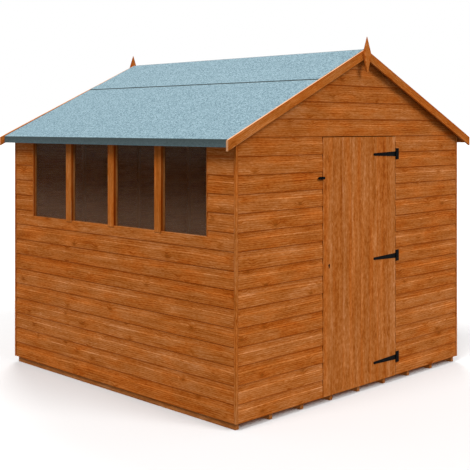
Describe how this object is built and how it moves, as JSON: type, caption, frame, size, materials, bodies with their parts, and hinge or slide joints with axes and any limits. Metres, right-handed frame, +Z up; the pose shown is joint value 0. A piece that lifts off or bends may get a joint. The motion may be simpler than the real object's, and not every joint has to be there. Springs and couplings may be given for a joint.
{
  "type": "wooden garden shed",
  "caption": "Square timber garden shed with shiplap walls, a felted apex roof, a side window row and a ledged and braced door that swings out on tee hinges.",
  "frame": {"origin": "on the ground, under the middle of the plan", "axes": "+Z up; -Y out of the door gable; -X out of the window wall"},
  "size_m": [2.62, 2.518, 2.4092],
  "materials": {
    "cladding": "dip-treated softwood shiplap",
    "door_wood": "dip-treated softwood boards",
    "trim_wood": "dip-treated planed softwood",
    "frame_wood": "dip-treated sawn softwood",
    "board_wood": "planed softwood boards",
    "roof_felt": "mineral roofing felt",
    "window_glazing": "clear glazing sheet",
    "black_iron": "black japanned steel"
  },
  "bodies": {
    "shed": {"back_wall": "cladding", "back_wall_rails": "frame_wood", "back_wall_studs": "frame_wood", "bargeboard_back_left": "trim_wood", "bargeboard_back_right": "trim_wood", "bargeboard_front_left": "trim_wood", "bargeboard_front_right": "trim_wood", "corner_strips": "trim_wood", "eaves_battens": "frame_wood", "finial_back": "trim_wood", "finial_front": "trim_wood", "floor": "board_wood", "floor_bearers": "frame_wood", "front_gable": "cladding", "front_wall_left": "cladding", "front_wall_rails": "frame_wood", "front_wall_right": "cladding", "front_wall_studs": "frame_wood", "hinge_plates": "black_iron", "left_wall": "cladding", "left_wall_rails": "frame_wood", "left_wall_studs": "frame_wood", "ridge_purlin": "frame_wood", "right_wall": "cladding", "right_wall_rails": "frame_wood", "right_wall_studs": "frame_wood", "roof_deck_left": "board_wood", "roof_deck_right": "board_wood", "roof_felt_left": "roof_felt", "roof_felt_ridge": "roof_felt", "roof_felt_right": "roof_felt", "roof_purlins": "frame_wood", "turn_button_pin": "black_iron", "window_mullions": "trim_wood", "window_panes": "window_glazing"},
    "door": {"door": "door_wood", "door_ledges": "frame_wood", "door_braces": "frame_wood", "door_lock": "black_iron", "hinge_straps": "black_iron"},
    "turn_button": {"turn_button": "black_iron"}
  },
  "joints": [
    {"name": "door_hinge", "type": "hinge", "parent": "shed", "child": "door", "pos_m": [0.4005, -1.204, 0], "axis": [0, 0, 1], "range_deg": [0, 170]},
    {"name": "turn_button_pivot", "type": "hinge", "parent": "shed", "child": "turn_button", "pos_m": [-0.423, -1.21, 1.468], "axis": [0, -1, 0], "range_deg": [0, 90]}
  ]
}
